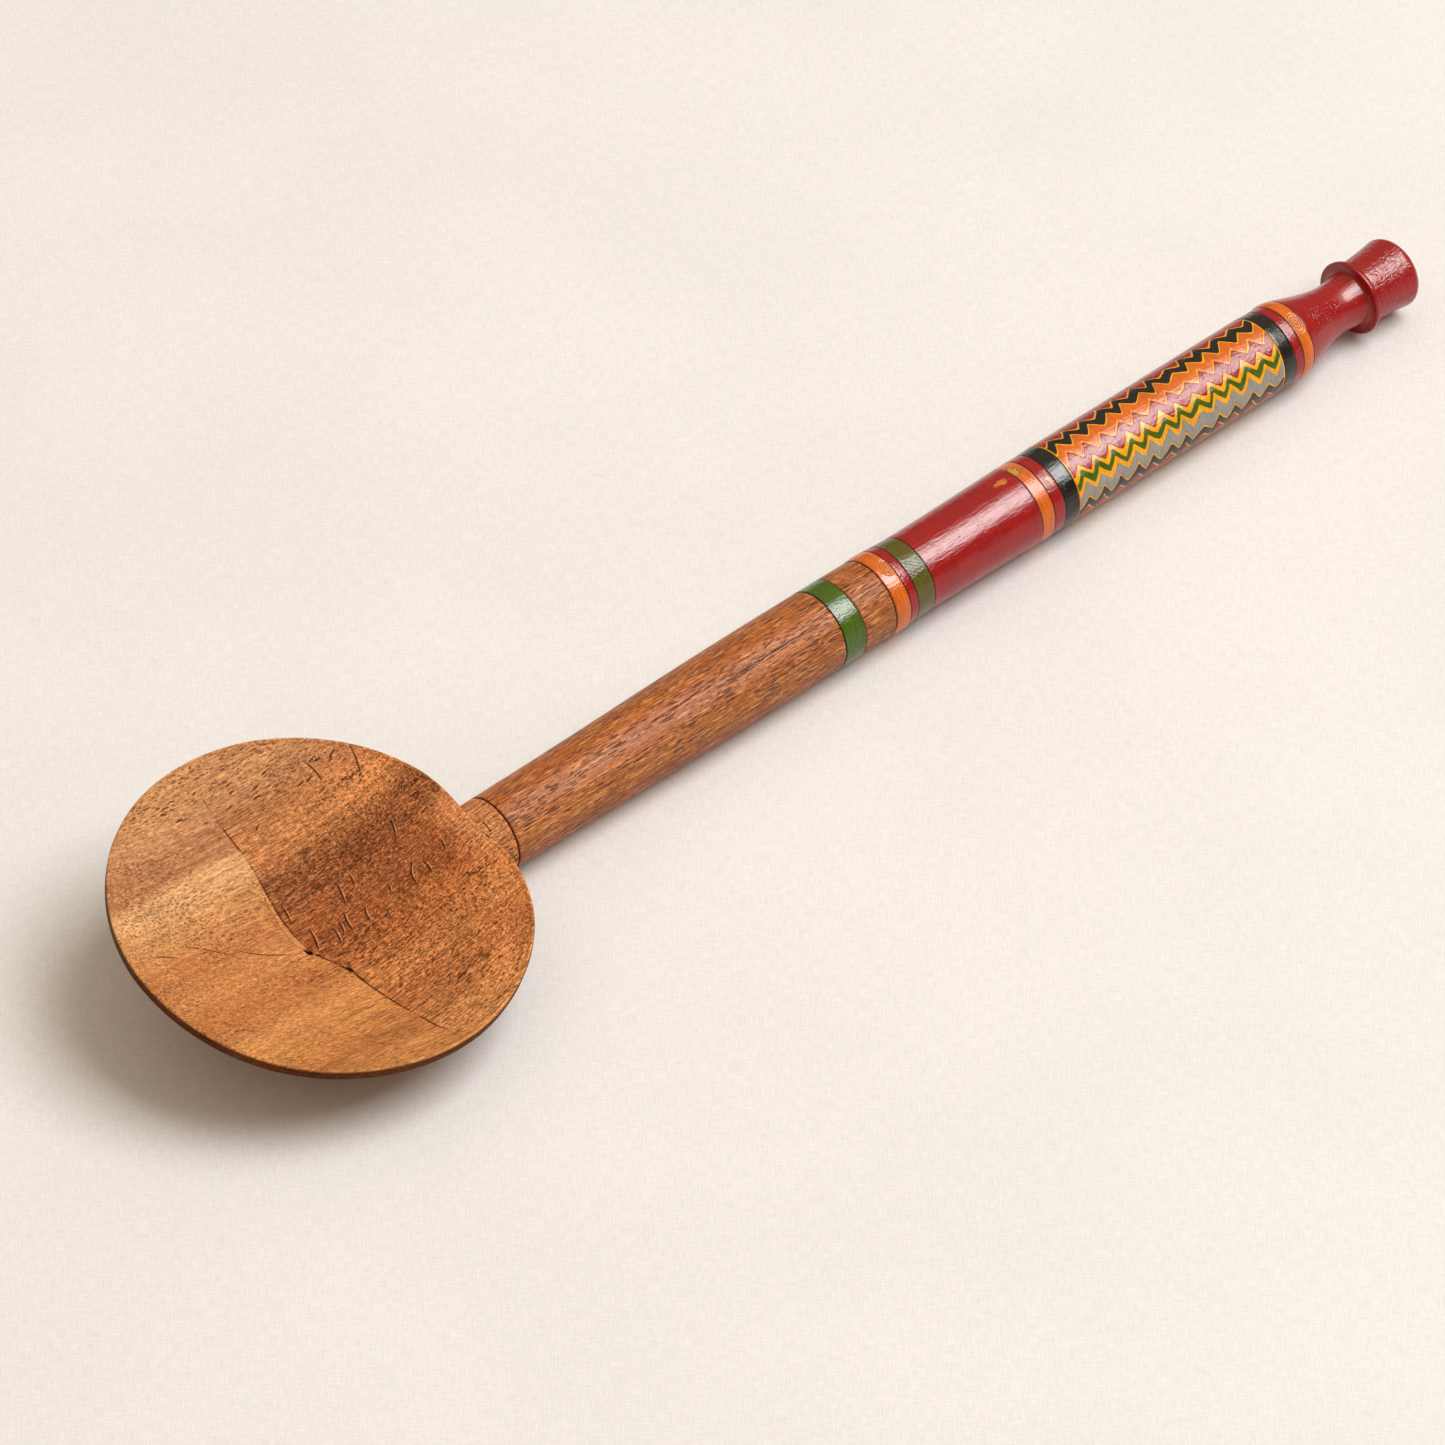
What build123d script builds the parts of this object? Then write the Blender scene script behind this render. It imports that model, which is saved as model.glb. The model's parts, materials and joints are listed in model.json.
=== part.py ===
from build123d import *

import math
import os

# A serving ladle: a carved round bowl glued to a lathe-turned handle that carries coats of lac.
# Millimetres. +X runs from the bowl along the handle, +Z is up, and z = 0 is the table top.
# The origin is on the table, on the bowl's rest face, straight under the handle's centre line.

# ---- bowl ----
BOWL_RADIUS = 45.7
BOWL_DEPTH = 17.0
RIM_ABOVE_AXIS = 16.0
RIM_EDGE = 3.0
RIM_LAND = 0.7
RIM_EDGE_DRAFT = 0.3
UNDERSIDE_EDGE_ANGLE = 42.0
BOTTOM_BELOW_AXIS = 10.5
BOWL_PITCH = 4.8
BOWL_ROLL = 11.2
NECK_RADIUS = 8.95
KEEL_END_X = 18.0
KEEL_END_RADIUS = 5.5
KEEL_START_X = 46.0

# ---- neck joint ----
JOINT_X = 51.3
GLUE_GAP = 0.3
TENON_RADIUS = 5.0
TENON_LENGTH = 15.0
TENON_GLUE = 0.15

# ---- handle: the turned sections from the joint to the taper, as (x, radius) points ----
# A section with a coat keeps these points as the coat's outer face.
BARE_LOWER = [(51.6, 8.95), (76.0, 9.2), (108.0, 9.7), (148.3, 9.85)]
GREEN_LOWER = [(148.3, 9.85), (154.3, 9.82)]
BARE_UPPER = [(154.3, 9.82), (164.0, 9.75)]
ORANGE_LOWER = [(164.0, 9.75), (166.2, 9.98), (168.3, 9.95)]
CRIMSON_LOWER = [(168.3, 9.95), (170.8, 9.75)]
GREEN_UPPER = [(170.8, 9.75), (176.2, 9.5)]
CRIMSON_SLEEVE = [(176.2, 9.5), (182.0, 9.5), (195.0, 9.65), (210.3, 9.9)]
ORANGE_MIDDLE = [(210.3, 9.9), (214.3, 9.9)]
CRIMSON_MIDDLE = [(214.3, 9.9), (217.8, 9.8)]
BLACK_LOWER = [(217.8, 9.8), (222.2, 9.95)]
PANEL = [(222.2, 9.95), (290.9, 9.95)]
BLACK_UPPER = [(290.9, 9.95), (294.7, 9.8)]
CRIMSON_UPPER = [(294.7, 9.8), (297.5, 9.8)]
ORANGE_UPPER = [(297.5, 9.8), (299.3, 10.05), (301.0, 9.75)]

# ---- handle: taper, waist, flange and finial ----
TAPER_MIDDLE = (309.0, 7.6)
WAIST = (318.5, 6.3)
FLANGE_X = 323.0
FLANGE_THICKNESS = 2.3
FLANGE_RADIUS = 9.2
FLANGE_EDGE = 0.7
FLANGE_ROOT_RADIUS = 7.4
GROOVE = (326.2, 7.7)
FINIAL_RADIUS = 8.9
FINIAL_EDGE = 1.6
FINIAL_END_X = 339.6

# ---- lac ----
COAT = 0.35
STRIP = 0.12
OUTLINE_END = 0.5
OUTLINE_HALF_ANGLE = 1.6

# ---- combed zigzag panel: the teeth, and each strip's edges as angles from the top ----
# A positive angle turns towards -Y. The yellow ground shows between the strips.
TOOTH_PITCH = 5.45
TOOTH_ANGLE = 8.0
STRIPS = {
    "zigzag_crimson_top": (-52, -20),
    "zigzag_black_top": (-20, 0),
    "zigzag_orange_front": (0, 20),
    "zigzag_crimson_front": (20, 43),
    "zigzag_green_front": (48, 59),
    "zigzag_grey_front": (66, 90),
    "zigzag_black_under": (90, 106),
    "zigzag_crimson_under": (106, 136),
    "zigzag_green_under": (142, 154),
    "zigzag_grey_under": (160, 184),
    "zigzag_orange_back": (184, 204),
    "zigzag_crimson_back": (204, 230),
    "zigzag_black_back": (230, 250),
    "zigzag_green_back": (256, 268),
    "zigzag_grey_back": (274, 308),
}

PANEL_RADIUS = PANEL[0][1]
AXIS_HEIGHT = 10.06
FAR = 400.0


def bowl_place(piece):
    """Tilt a piece from the bowl's own upright frame to how the bowl sits on the handle."""
    return Rot(BOWL_ROLL, 0, 0) * Rot(0, BOWL_PITCH, 0) * piece


def bowl_blank():
    """The solid bowl before hollowing, turned about its own centre line."""
    rim = (BOWL_RADIUS, RIM_ABOVE_AXIS)
    edge_foot = (BOWL_RADIUS - RIM_EDGE_DRAFT, RIM_ABOVE_AXIS - RIM_EDGE)
    bottom = (0, -BOTTOM_BELOW_AXIS)
    slope = math.radians(UNDERSIDE_EDGE_ANGLE)
    underside = Spline(bottom, edge_foot, tangents=[(1, 0), (math.cos(slope), math.sin(slope))])
    edges = [
        Line((0, RIM_ABOVE_AXIS), rim),
        Line(rim, edge_foot),
        underside,
        Line(bottom, (0, RIM_ABOVE_AXIS)),
    ]
    return revolve(Plane.XZ * make_face(edges), Axis.Z)


def bowl_hollow():
    """A ball cap that cuts the dish, leaving a narrow land round the rim."""
    mouth = BOWL_RADIUS - RIM_LAND
    ball = (mouth**2 + BOWL_DEPTH**2) / (2 * BOWL_DEPTH)
    centre = RIM_ABOVE_AXIS - BOWL_DEPTH + ball
    return Pos(0, 0, centre) * Sphere(ball)


def along_x(profile):
    """Turn a flat outline, drawn with its first axis along the handle, about the handle's axis."""
    return revolve(Plane.XZ * profile, Axis.X)


def neck_stub():
    """The neck, a round stub that runs on under the bowl as a tapering keel."""
    outline = Polyline(
        (KEEL_END_X, 0),
        (KEEL_END_X, KEEL_END_RADIUS),
        (KEEL_START_X, NECK_RADIUS),
        (JOINT_X, NECK_RADIUS),
        (JOINT_X, 0),
        close=True,
    )
    return along_x(make_face(outline))


def socket():
    """The blind hole in the neck that takes the tenon and its glue."""
    radius = TENON_RADIUS + TENON_GLUE
    depth = TENON_LENGTH + TENON_GLUE
    return Pos(JOINT_X - depth, 0, 0) * Rot(0, 90, 0) * Cylinder(
        radius, depth, align=(Align.CENTER, Align.CENTER, Align.MIN)
    )


def below_table():
    """The space under the table top, used to cut the bowl's rest face."""
    return Pos(0, 0, -AXIS_HEIGHT) * Box(
        FAR, FAR, FAR, align=(Align.CENTER, Align.CENTER, Align.MAX)
    )


def bowl():
    body = bowl_place(bowl_blank()) + neck_stub()
    return body - bowl_place(bowl_hollow()) - socket() - below_table()


def turned_edge(points, inset=0.0):
    """A section's edge, straight or smooth through its points, moved towards the axis by inset."""
    moved = [(x, radius - inset) for x, radius in points]
    return Line(*moved) if len(moved) == 2 else Spline(*moved)


def step(x, first_radius, last_radius):
    return Line((x, first_radius), (x, last_radius))


def ring(points, outer_inset, inner_inset):
    """A thin turned sleeve between two depths under a section's surface."""
    (start_x, start_radius), (end_x, end_radius) = points[0], points[-1]
    edges = [
        turned_edge(points, outer_inset),
        step(end_x, end_radius - outer_inset, end_radius - inner_inset),
        turned_edge(points, inner_inset),
        step(start_x, start_radius - inner_inset, start_radius - outer_inset),
    ]
    return along_x(make_face(edges))


def end_edges(inset):
    """The taper, waist, flange and finial as a chain of edges that ends on the axis."""
    start_x, start_radius = ORANGE_UPPER[-1]
    front_x = FLANGE_X + inset
    back_x = FLANGE_X + FLANGE_THICKNESS - inset
    edge_low = FLANGE_RADIUS - FLANGE_EDGE - inset
    end_x = FINIAL_END_X - inset
    finial = FINIAL_RADIUS - inset
    taper = [(start_x, start_radius), TAPER_MIDDLE, WAIST, (front_x, FLANGE_ROOT_RADIUS)]
    groove = (GROOVE[0] - inset, GROOVE[1] - inset)
    round_start = (end_x - FINIAL_EDGE, finial)
    round_end = (end_x, finial - FINIAL_EDGE)
    half_turn = FINIAL_EDGE * (1 - math.sqrt(0.5))
    round_middle = (end_x - half_turn, finial - half_turn)
    return [
        turned_edge(taper, inset),
        step(front_x, FLANGE_ROOT_RADIUS - inset, edge_low),
        ThreePointArc(
            (front_x, edge_low),
            ((front_x + back_x) / 2, FLANGE_RADIUS - inset),
            (back_x, edge_low),
        ),
        Line((back_x, edge_low), groove),
        Line(groove, round_start),
        ThreePointArc(round_start, round_middle, round_end),
        Line(round_end, (end_x, 0)),
    ]


def end_coat():
    """The crimson coat over the taper, waist, flange and finial, with a closed end."""
    start_x, start_radius = ORANGE_UPPER[-1]
    edges = end_edges(0) + end_edges(COAT)
    edges.append(step(start_x, start_radius, start_radius - COAT))
    edges.append(Line((FINIAL_END_X, 0), (FINIAL_END_X - COAT, 0)))
    return along_x(make_face(edges))


def handle_core():
    """The wooden stick: bare where it shows, and turned down by one coat where lac covers it."""
    start_x, start_radius = BARE_LOWER[0]
    green_start, green_end = GREEN_LOWER
    coated_x, coated_radius = ORANGE_LOWER[0]
    edges = [
        step(start_x, 0, start_radius),
        turned_edge(BARE_LOWER),
        step(green_start[0], green_start[1], green_start[1] - COAT),
        turned_edge(GREEN_LOWER, COAT),
        step(green_end[0], green_end[1] - COAT, green_end[1]),
        turned_edge(BARE_UPPER),
        step(coated_x, coated_radius, coated_radius - COAT),
    ]
    edges += [turned_edge(points, COAT) for points in COATED_RUN]
    edges += end_edges(COAT)
    edges.append(Line((FINIAL_END_X - COAT, 0), (start_x, 0)))
    return along_x(make_face(edges)) + tenon()


def tenon():
    return Pos(JOINT_X - TENON_LENGTH, 0, 0) * Rot(0, 90, 0) * Cylinder(
        TENON_RADIUS,
        TENON_LENGTH + GLUE_GAP,
        align=(Align.CENTER, Align.CENTER, Align.MIN),
    )


def neck_glue():
    """One film: a cup round the tenon, and a washer between the neck and the handle's shoulder."""
    cup_radius = TENON_RADIUS + TENON_GLUE
    cup_floor = JOINT_X - TENON_LENGTH - TENON_GLUE
    outline = Polyline(
        (cup_floor, 0),
        (cup_floor, cup_radius),
        (JOINT_X, cup_radius),
        (JOINT_X, NECK_RADIUS),
        (JOINT_X + GLUE_GAP, NECK_RADIUS),
        (JOINT_X + GLUE_GAP, TENON_RADIUS),
        (JOINT_X - TENON_LENGTH, TENON_RADIUS),
        (JOINT_X - TENON_LENGTH, 0),
        close=True,
    )
    return along_x(make_face(outline))


def tooth_edge(angle, middle):
    """One zigzag edge of a strip, as points along X and across the tangent at the strip's middle."""
    start = PANEL[0][0] - TOOTH_PITCH
    end = PANEL[-1][0] + TOOTH_PITCH
    count = math.ceil(2 * (end - start) / TOOTH_PITCH)
    points = []
    for index in range(count + 1):
        turn = angle + TOOTH_ANGLE * (1 if index % 2 else -1) - middle
        across = -PANEL_RADIUS * math.sin(math.radians(turn))
        points.append((start + index * TOOTH_PITCH / 2, across))
    return points


def strip_cutter(low, high):
    """A zigzag-sided slab that stands out along the radius at the strip's middle angle."""
    middle = (low + high) / 2
    first = tooth_edge(low + OUTLINE_HALF_ANGLE, middle)
    last = tooth_edge(high - OUTLINE_HALF_ANGLE, middle)
    turned = math.radians(middle)
    outwards = (0, -math.sin(turned), math.cos(turned))
    plane = Plane(origin=(0, 0, 0), x_dir=(1, 0, 0), z_dir=outwards)
    face = plane * make_face(Polyline(*first, *reversed(last), close=True))
    return extrude(face, amount=2 * PANEL_RADIUS, dir=outwards)


def zigzag_strips():
    """Every combed strip, cut from the thin top layer of the panel."""
    start = (PANEL[0][0] + OUTLINE_END, PANEL_RADIUS)
    end = (PANEL[-1][0] - OUTLINE_END, PANEL_RADIUS)
    layer = ring([start, end], 0, STRIP)
    return {name: layer & strip_cutter(low, high) for name, (low, high) in STRIPS.items()}


BANDS = {
    "green_band_lower": GREEN_LOWER,
    "orange_band_lower": ORANGE_LOWER,
    "crimson_line_lower": CRIMSON_LOWER,
    "green_band_upper": GREEN_UPPER,
    "crimson_sleeve": CRIMSON_SLEEVE,
    "orange_band_middle": ORANGE_MIDDLE,
    "crimson_line_middle": CRIMSON_MIDDLE,
    "black_band_lower": BLACK_LOWER,
    "black_band_upper": BLACK_UPPER,
    "crimson_line_upper": CRIMSON_UPPER,
    "orange_band_upper": ORANGE_UPPER,
}
COATED_RUN = [
    ORANGE_LOWER,
    CRIMSON_LOWER,
    GREEN_UPPER,
    CRIMSON_SLEEVE,
    ORANGE_MIDDLE,
    CRIMSON_MIDDLE,
    BLACK_LOWER,
    PANEL,
    BLACK_UPPER,
    CRIMSON_UPPER,
    ORANGE_UPPER,
]


def build():
    """Every piece by name, with the handle's axis on the X axis."""
    pieces = {"bowl": bowl(), "handle_core": handle_core(), "neck_glue": neck_glue()}
    pieces.update({name: ring(points, 0, COAT) for name, points in BANDS.items()})
    pieces["panel_yellow_ground"] = ring(PANEL, STRIP, COAT)
    pieces.update(zigzag_strips())
    pieces["crimson_end_coat"] = end_coat()
    return pieces


os.makedirs("parts", exist_ok=True)
for name, piece in build().items():
    export_step(Pos(0, 0, AXIS_HEIGHT) * piece, f"parts/{name}.step")
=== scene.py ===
import json
from functools import reduce
from math import ceil, cos, pi, radians, sin, sqrt, tan

import bpy
import numpy as np
from mathutils import Matrix, Vector


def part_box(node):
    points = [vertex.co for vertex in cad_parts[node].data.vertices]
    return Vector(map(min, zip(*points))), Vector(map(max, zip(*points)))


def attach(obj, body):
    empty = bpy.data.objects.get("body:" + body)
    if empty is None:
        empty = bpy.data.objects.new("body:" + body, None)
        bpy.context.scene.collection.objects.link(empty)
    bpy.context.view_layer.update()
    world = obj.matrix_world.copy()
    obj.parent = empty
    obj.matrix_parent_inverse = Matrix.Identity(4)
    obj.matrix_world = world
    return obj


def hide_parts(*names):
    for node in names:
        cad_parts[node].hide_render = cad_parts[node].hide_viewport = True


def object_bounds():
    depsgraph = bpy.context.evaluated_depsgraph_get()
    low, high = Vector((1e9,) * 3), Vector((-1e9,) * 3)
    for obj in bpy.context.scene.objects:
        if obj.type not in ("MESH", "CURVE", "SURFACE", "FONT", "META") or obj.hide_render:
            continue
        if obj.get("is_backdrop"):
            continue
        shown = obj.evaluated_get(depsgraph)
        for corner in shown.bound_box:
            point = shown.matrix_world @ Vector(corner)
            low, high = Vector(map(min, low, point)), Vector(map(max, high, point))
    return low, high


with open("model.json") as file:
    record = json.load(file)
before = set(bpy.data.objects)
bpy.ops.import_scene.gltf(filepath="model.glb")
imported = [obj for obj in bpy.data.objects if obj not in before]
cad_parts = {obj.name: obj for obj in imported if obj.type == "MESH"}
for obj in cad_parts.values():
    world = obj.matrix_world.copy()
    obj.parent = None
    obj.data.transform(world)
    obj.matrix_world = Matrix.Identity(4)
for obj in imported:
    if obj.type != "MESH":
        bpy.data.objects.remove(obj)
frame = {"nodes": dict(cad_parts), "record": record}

# A carved wooden ladle with a lac-turned handle, lying on pale cloth.
# Shapes are worked out in millimetres in the frame of the CAD model, and meshes are made in metres.
cad_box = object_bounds()
MM = 0.001
TURN = 2 * pi
SLOTS = {part["node"]: part["material_slot"] for part in frame["record"]["subparts"]}


# ---- sizes taken from the frame

def span(node):
    """A node's first and last place along the handle, in mm."""
    low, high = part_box(node)
    return low[0] / MM, high[0] / MM


def axis_height():
    """The height of the handle's axis above the table, in mm."""
    low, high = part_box("crimson_sleeve")
    return (low[2] + high[2]) / 2 / MM


AXIS_Z = axis_height()
BANDS = [node for node in SLOTS if any(word in node for word in ("_band_", "_line_", "_sleeve"))]
GREEN = span("green_band_lower")
PANEL = span("panel_yellow_ground")
END = span("crimson_end_coat")
JOINT_X = span("neck_glue")[1]
BARE_END = span("orange_band_lower")[0]
CORE_MIN_RADIUS = 8.8
PROFILE_STEP = 0.1
SMOOTHING = 9


def read_field(collection, field, width):
    values = np.empty(len(collection) * width)
    collection.foreach_get(field, values)
    return values.reshape(-1, width)


def outer_points(node):
    """The places and radii of a turned node's outward face, read from its CAD mesh."""
    mesh = frame["nodes"][node].data
    mesh.calc_loop_triangles()
    points = read_field(mesh.vertices, "co", 3) / MM - (0, 0, AXIS_Z)
    corners = read_field(mesh.loop_triangles, "vertices", 3).astype(int)
    first, second, third = points[corners].transpose(1, 0, 2)
    normal = np.cross(second - first, third - first)
    middle = (first + second + third) / 3
    outward = (normal[:, 1:] * middle[:, 1:]).sum(1) > np.abs(normal[:, 0]) * 5
    used = points[np.unique(corners[outward])]
    return used[:, 0], np.hypot(used[:, 1], used[:, 2])


def turned_profile():
    """The turned surface, as places along the handle and radii."""
    found = {}
    for node in ["handle_core", *BANDS, "panel_yellow_ground"]:
        x, radius = outer_points(node)
        keep = np.ones(len(x), dtype=bool)
        if node == "handle_core":
            bare = (x > JOINT_X - 0.01) & (x < BARE_END + 0.01) & (radius > CORE_MIN_RADIUS)
            keep = bare & ((x < GREEN[0] + 0.01) | (x > GREEN[1] - 0.01))
        for place, size in zip(np.round(x[keep], 2), radius[keep]):
            found[place] = max(found.get(place, 0.0), size)
    places = np.array(sorted(found))
    fine = np.arange(places[0], END[0] + PROFILE_STEP / 2, PROFILE_STEP)
    radii = np.interp(fine, places, [found[place] for place in places])
    window = np.hanning(2 * SMOOTHING + 1)
    padded = np.pad(radii, SMOOTHING, mode="edge")
    return fine, np.convolve(padded, window / window.sum(), mode="valid")


PROFILE_X, PROFILE_R = turned_profile()


def turned_radius(x):
    return np.interp(x, PROFILE_X, PROFILE_R)


# ---- hand-made unevenness

def wave_sum(angle, seed, terms, falloff=0.6):
    """A smooth closed wander round a circle, between about -1 and 1."""
    draw = np.random.default_rng(seed)
    total = np.zeros_like(angle)
    for order in range(1, terms + 1):
        total += draw.normal() * order ** -falloff * np.cos(order * angle + draw.uniform(0, TURN))
    return total / sqrt(terms)


def smooth_noise(x, seed, spacing):
    """Smooth random values along a line, between -1 and 1."""
    draw = np.random.default_rng(seed)
    knots = draw.uniform(-1, 1, 4096)
    place = np.asarray(x) / spacing + 2048
    whole = np.floor(place).astype(int)
    part = place - whole
    part = part * part * (3 - 2 * part)
    return knots[whole] * (1 - part) + knots[whole + 1] * part


def ease(x, low, high):
    """From 0 to 1, smoothly, as x goes from low to high."""
    part = np.clip((x - low) / (high - low), 0, 1)
    return part * part * (3 - 2 * part)


EDGE_WANDER = 0.09
GREEN_EDGE_WANDER = 0.34
OUT_OF_ROUND = 0.03
BOUNDARIES = sorted({round(x, 2) for node in BANDS for x in span(node)})


def edge_shift(x, angle):
    """How far a turned edge strays along the handle. Coats that meet share it."""
    stray = []
    for index in range(len(BOUNDARIES)):
        size = GREEN_EDGE_WANDER if index == 1 else EDGE_WANDER
        stray.append(size * wave_sum(angle, 100 + index, 14))
    stray = np.pad(stray, ((1, 1), (0, 0)))
    places = np.array([BOUNDARIES[0] - 6.0] + BOUNDARIES + [BOUNDARIES[-1] + 3.0])
    position = np.clip(np.interp(x, places, np.arange(len(places))), 0, len(places) - 1.001)
    low = np.floor(position).astype(int)
    part = (position - low)[:, None]
    return stray[low] * (1 - part) + stray[low + 1] * part


def oval(angle):
    """How far the wood's shrinking put the turned surface out of round."""
    return OUT_OF_ROUND * np.cos(2 * angle + 0.7)


def lathe_wobble(x, angle):
    """Small errors of the turned radius: slow swells and a faint out-of-round."""
    swell = 0.03 * smooth_noise(x, 7, 17.0) + 0.003 * smooth_noise(x, 8, 3.1)
    fade = ease(x, JOINT_X, JOINT_X + 6) * (1 - ease(x, END[0] + 10, END[0] + 20) * 0.7)
    return (swell * fade)[:, None] + oval(angle)[None, :] * fade[:, None]


# ---- mesh building

def make_piece(name, points, quads, triangles=()):
    """A mesh object from points in mm, with smooth shading."""
    mesh = bpy.data.meshes.new(name)
    quads = np.asarray(quads, dtype=np.int32).reshape(-1, 4)
    triangles = np.asarray(triangles, dtype=np.int32).reshape(-1, 3)
    loops = np.concatenate([quads.ravel(), triangles.ravel()])
    sizes = np.concatenate([np.full(len(quads), 4), np.full(len(triangles), 3)])
    starts = np.concatenate([[0], np.cumsum(sizes)[:-1]]).astype(np.int32)
    mesh.vertices.add(len(points))
    mesh.vertices.foreach_set("co", (np.asarray(points) * MM).ravel())
    mesh.loops.add(len(loops))
    mesh.loops.foreach_set("vertex_index", loops)
    mesh.polygons.add(len(sizes))
    mesh.polygons.foreach_set("loop_start", starts)
    mesh.polygons.foreach_set("use_smooth", np.ones(len(sizes), dtype=bool))
    mesh.update(calc_edges=True)
    mesh.validate()
    piece = bpy.data.objects.new(name, mesh)
    bpy.context.collection.objects.link(piece)
    return piece


def grid_quads(rows, columns, close_rows=False, close_columns=True):
    """Faces of a grid of points stored row by row."""
    row = np.arange(rows if close_rows else rows - 1)
    column = np.arange(columns if close_columns else columns - 1)
    r, c = np.meshgrid(row, column, indexing="ij")
    next_r = (r + 1) % rows * columns
    next_c = (c + 1) % columns
    r = r * columns
    return np.stack([r + next_c, next_r + next_c, next_r + c, r + c], -1).reshape(-1, 4)


def capped(rings, poles, flip=False):
    """Points, quads and triangles of a chain of rings with a pole at each end."""
    count, segments = rings.shape[:2]
    ring = np.arange(segments)
    after = np.roll(ring, -1)
    pole = np.full(segments, count * segments)
    last = (count - 1) * segments
    triangles = np.concatenate([
        np.stack([pole, after, ring], -1),
        np.stack([pole + 1, last + ring, last + after], -1),
    ])
    quads = grid_quads(count, segments)
    turn = -1 if flip else 1
    return np.concatenate([rings.reshape(-1, 3), poles]), quads[:, ::turn], triangles[:, ::turn]


def store(piece, name, values):
    """Store numbers or vectors on a mesh's points for its material to read."""
    values = np.asarray(values, dtype=np.float32)
    kind, field = ("FLOAT_VECTOR", "vector") if values.ndim == 2 else ("FLOAT", "value")
    attribute = piece.data.attributes.new(name, kind, "POINT")
    attribute.data.foreach_set(field, values.ravel())


def settle(piece, node, material):
    """Put a finished piece in the place of its CAD node."""
    piece.data.materials.append(material)
    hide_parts(node)
    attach(piece, "root")


SEGMENTS = 192


def lathe(name, stations, closed_loop=False):
    """Turn (x, radius) stations about the handle's axis, as a closed loop or as a chain with poles."""
    x, radius = np.array(stations, dtype=float).T
    angle = np.arange(SEGMENTS) * TURN / SEGMENTS
    across = radius[:, None] + lathe_wobble(x, angle)
    along = x[:, None] + edge_shift(x, angle)
    height = across * np.cos(angle) + AXIS_Z
    rings = np.stack([along, -across * np.sin(angle), height], -1)
    if closed_loop:
        return make_piece(name, rings.reshape(-1, 3), grid_quads(len(x), SEGMENTS, close_rows=True))
    return make_piece(name, *capped(rings, [[x[0], 0, AXIS_Z], [x[-1], 0, AXIS_Z]]))


def even_steps(start, end, step):
    return np.linspace(start, end, max(2, int(ceil((end - start) / step)) + 1))


# ---- material building

def rgb(red, green, blue):
    """A colour given as it looks on a screen, 0 to 255, in Blender's linear values."""
    return tuple((channel / 255) ** 2.2 for channel in (red, green, blue)) + (1.0,)


def method(operation):
    """Arithmetic on a Value: a math node in its tree."""
    return lambda self, other=0.0: self.tree.math(operation, self, other)


class Value:
    """A number that varies over a surface."""

    def __init__(self, tree, socket):
        self.tree, self.socket = tree, socket

    __add__ = __radd__ = method("ADD")
    __sub__ = method("SUBTRACT")
    __mul__ = __rmul__ = method("MULTIPLY")
    __truediv__ = method("DIVIDE")
    __abs__ = method("ABSOLUTE")
    at_least = method("MAXIMUM")

    def ease(self, low, high, start=0.0, end=1.0):
        """From start to end, smoothly, as the value goes from low to high."""
        return self.line(low, high, start, end, "SMOOTHSTEP")

    def line(self, low, high, start=0.0, end=1.0, kind="LINEAR"):
        """From start to end, evenly, as the value goes from low to high."""
        inputs = (self, low, high, start, end)
        return Value(self.tree, self.tree.new("MapRange", inputs, interpolation_type=kind).outputs[0])


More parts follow.
